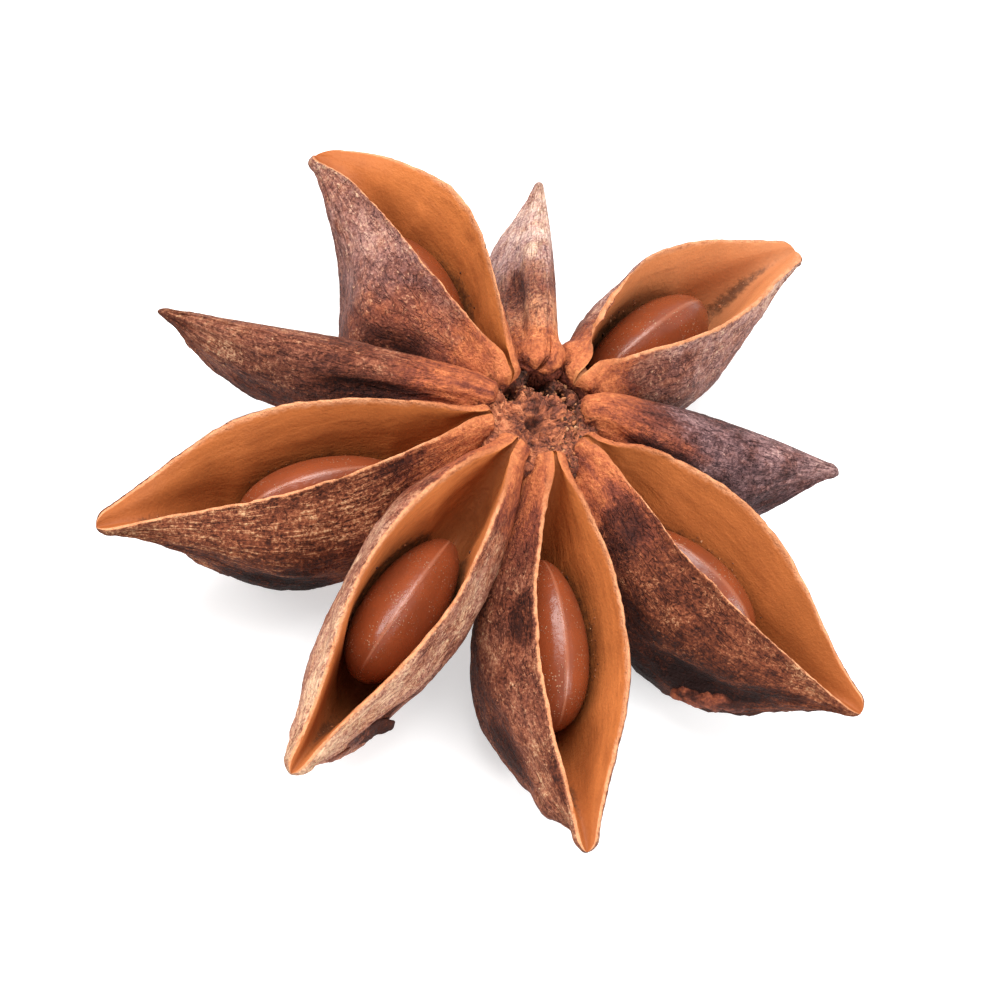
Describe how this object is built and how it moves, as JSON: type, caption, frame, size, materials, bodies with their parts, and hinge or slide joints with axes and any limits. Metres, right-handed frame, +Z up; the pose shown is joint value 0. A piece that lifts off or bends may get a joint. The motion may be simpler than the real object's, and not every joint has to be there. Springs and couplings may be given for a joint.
{
  "type": "star anise pod",
  "caption": "Dried star-shaped spice pod: woody boat-shaped carpels fused round a short column, most split open along the top over a glossy seed, some still shut",
  "frame": {"origin": "middle of the star's box, at the level of the keels that it stands on", "axes": "+Z up, out of the open side of the star; +X and +Y lie in the plane of the star, with carpel 7 pointing to about -Y and carpel 9 to about -X"},
  "size_m": [0.0318, 0.034, 0.0092],
  "materials": {
    "dried_pod": "dry and matt, wrinkled red-brown skin outside and smooth tan lining inside the open carpels",
    "seed_coat": "hard, smooth and glossy chestnut coat"
  },
  "bodies": {
    "root": {"pod": "dried_pod", "seed_1": "seed_coat", "seed_3": "seed_coat", "seed_5": "seed_coat", "seed_6": "seed_coat", "seed_7": "seed_coat", "seed_8": "seed_coat"}
  },
  "joints": []
}
